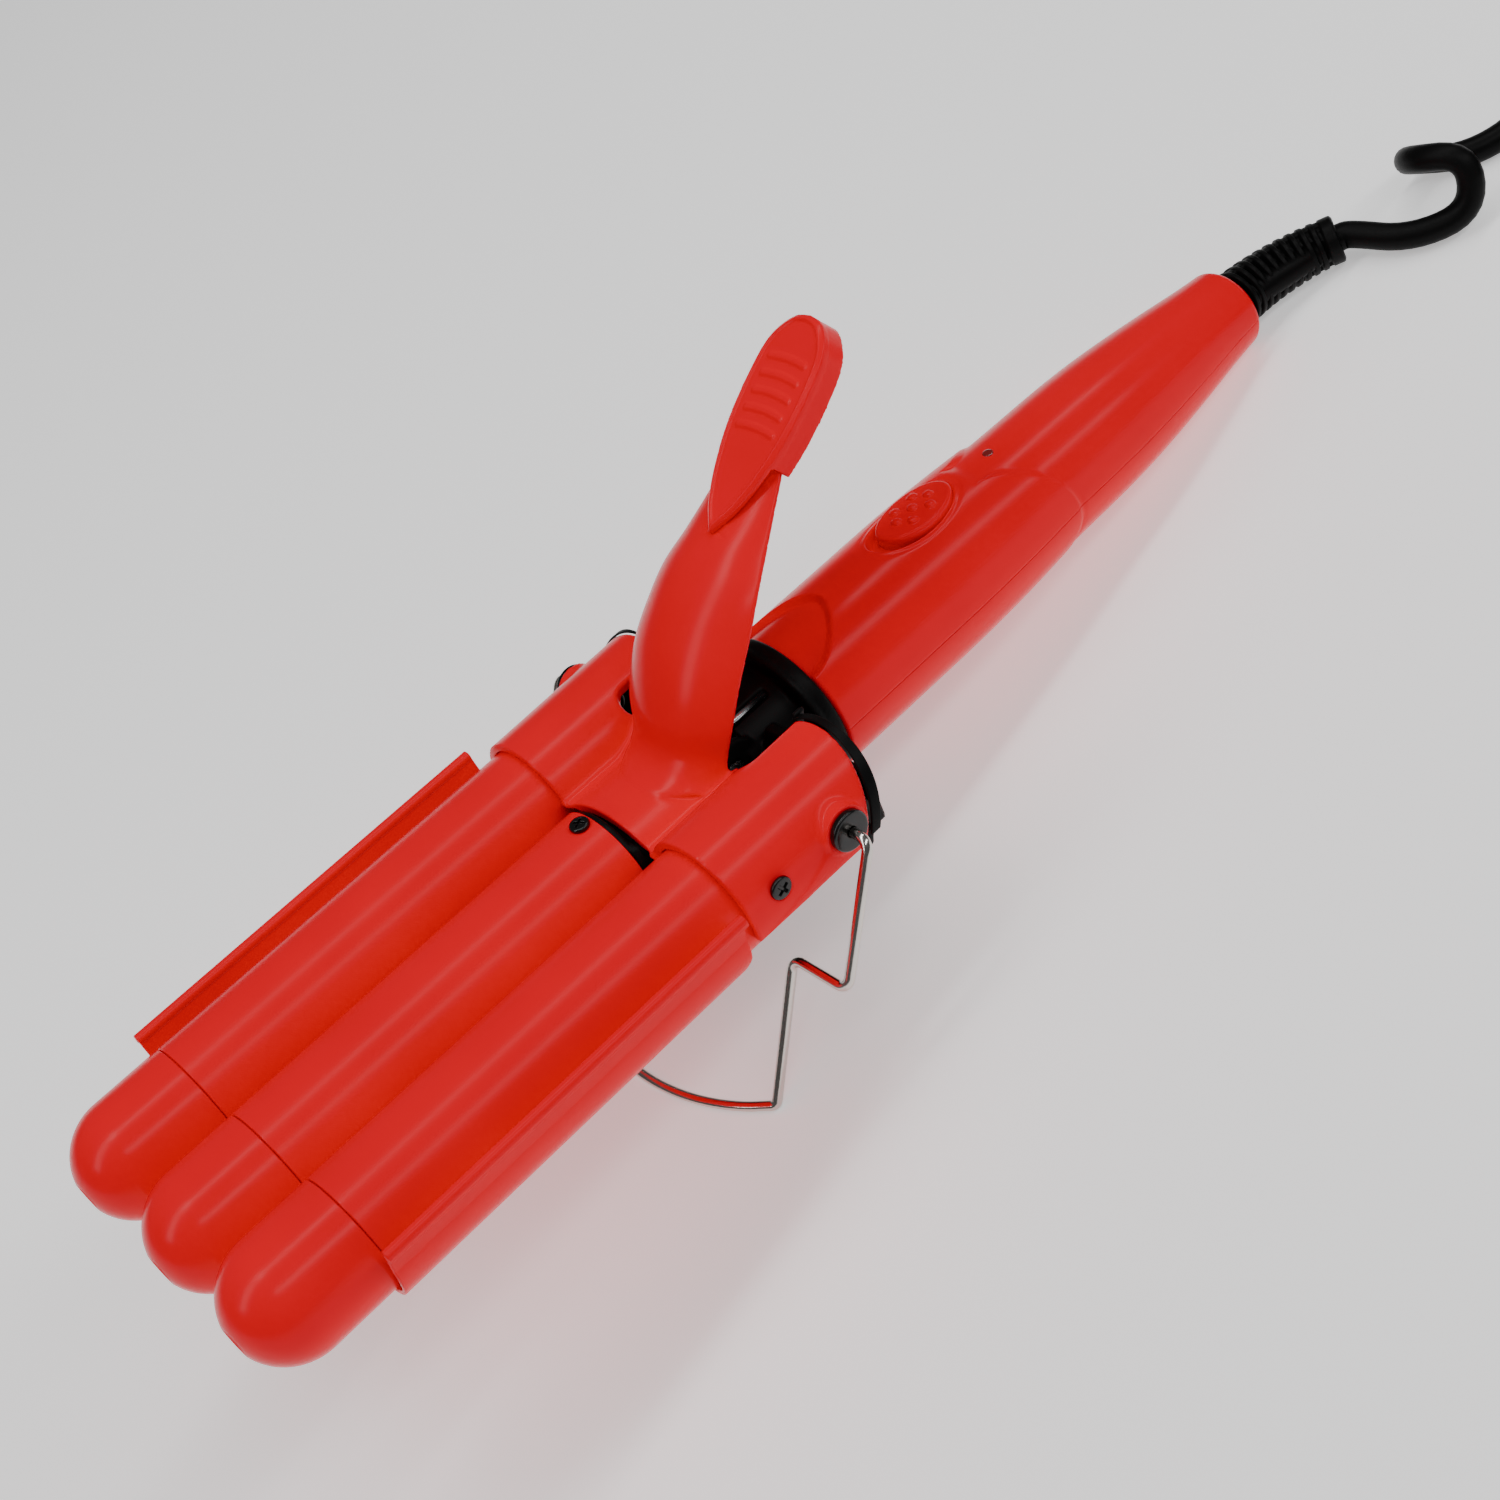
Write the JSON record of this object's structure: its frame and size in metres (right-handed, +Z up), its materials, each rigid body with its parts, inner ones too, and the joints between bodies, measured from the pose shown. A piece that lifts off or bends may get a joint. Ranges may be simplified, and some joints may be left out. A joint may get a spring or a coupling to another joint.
{
  "type": "hair waver",
  "caption": "Hair waver with parallel heated barrels, a sprung thumb-lever clamp over a wavy plate, a slide switch, a folding wire stand and a coiled mains lead with plug.",
  "frame": {"origin": "on the floor under the middle of the waver's bounding box, without the mains lead, as it stands on its wire stand and the tail of its handle", "axes": "+X from the barrels' tips towards the handle's tail, level with the floor; +Y across the barrels to the left one; +Z up"},
  "size_m": [0.4582, 0.1635, 0.1008],
  "materials": {
    "red_plastic": "gloss moulded, even red",
    "red_enamel": "red heat-resistant enamel on aluminium",
    "black_plastic": "satin black moulding",
    "black_screw": "black lacquered steel",
    "chrome_wire": "bright plated wire",
    "spring_steel": "drawn spring wire",
    "bare_aluminium": "extruded, unfinished",
    "ceramic": "white ceramic",
    "board_green": "solder-masked board",
    "component_black": "moulded component case",
    "film_yellow": "dipped film capacitor",
    "lens_clear": "clear moulded light pipe",
    "led_red": "tinted epoxy",
    "silicone_wire": "insulated lead wire",
    "cord_black": "black flexible sheath",
    "plug_black": "black moulded plug",
    "plug_metal": "nickel-plated pins"
  },
  "bodies": {
    "waver_body": {"pivot_frame": "black_plastic", "handle_upper_shell": "red_plastic", "handle_lower_shell": "red_plastic", "handle_screws": "black_screw", "neck_screw": "black_screw", "indicator_lens": "lens_clear", "indicator_led": "led_red", "circuit_board": "board_green", "board_screws": "spring_steel", "switch_body": "component_black", "film_capacitor": "film_yellow", "triac": "component_black", "heater_leads": "silicone_wire", "mains_leads": "silicone_wire", "cord_clamp": "black_plastic", "cord_clamp_screws": "spring_steel", "strain_relief": "cord_black", "jaw_plate": "red_enamel", "plate_screws": "spring_steel", "centre_barrel": "red_enamel", "centre_end_cap": "red_plastic", "centre_barrel_screw": "black_screw", "centre_heater": "ceramic", "centre_heat_spreaders": "bare_aluminium", "thermostat": "component_black", "pivot_screws": "black_screw", "torsion_spring": "spring_steel", "spring_pin": "spring_steel", "mains_cord": "cord_black", "cord_coil": "cord_black", "cord_tie": "black_plastic", "plug_body": "plug_black", "plug_pins": "plug_metal"},
    "clamp": {"clamp_cover": "red_plastic", "thumb_pad": "red_plastic", "left_barrel": "red_enamel", "right_barrel": "red_enamel", "left_end_cap": "red_plastic", "right_end_cap": "red_plastic", "left_barrel_holder": "black_plastic", "right_barrel_holder": "black_plastic", "left_heater": "ceramic", "right_heater": "ceramic", "left_heat_spreaders": "bare_aluminium", "right_heat_spreaders": "bare_aluminium", "sleeve_screws": "black_screw", "spring_arm": "spring_steel"},
    "stand": {"bail_stand": "chrome_wire"},
    "switch": {"switch_button": "red_plastic"}
  },
  "joints": [
    {"name": "clamp_hinge", "type": "hinge", "parent": "waver_body", "child": "clamp", "pos_m": [-0.02509, 0, 0.04782], "axis": [0, 1, 0], "range_deg": [0, 30], "stiffness_Nm_per_rad": 0.15, "springref_deg": -57.3},
    {"name": "stand_hinge", "type": "hinge", "parent": "waver_body", "child": "stand", "pos_m": [-0.02509, 0, 0.04782], "axis": [0, 1, 0], "range_deg": [-98, 0]},
    {"name": "switch_slide", "type": "slide", "parent": "waver_body", "child": "switch", "axis": [-0.9802, 0, 0.1983], "range_m": [0, 0.003]}
  ]
}
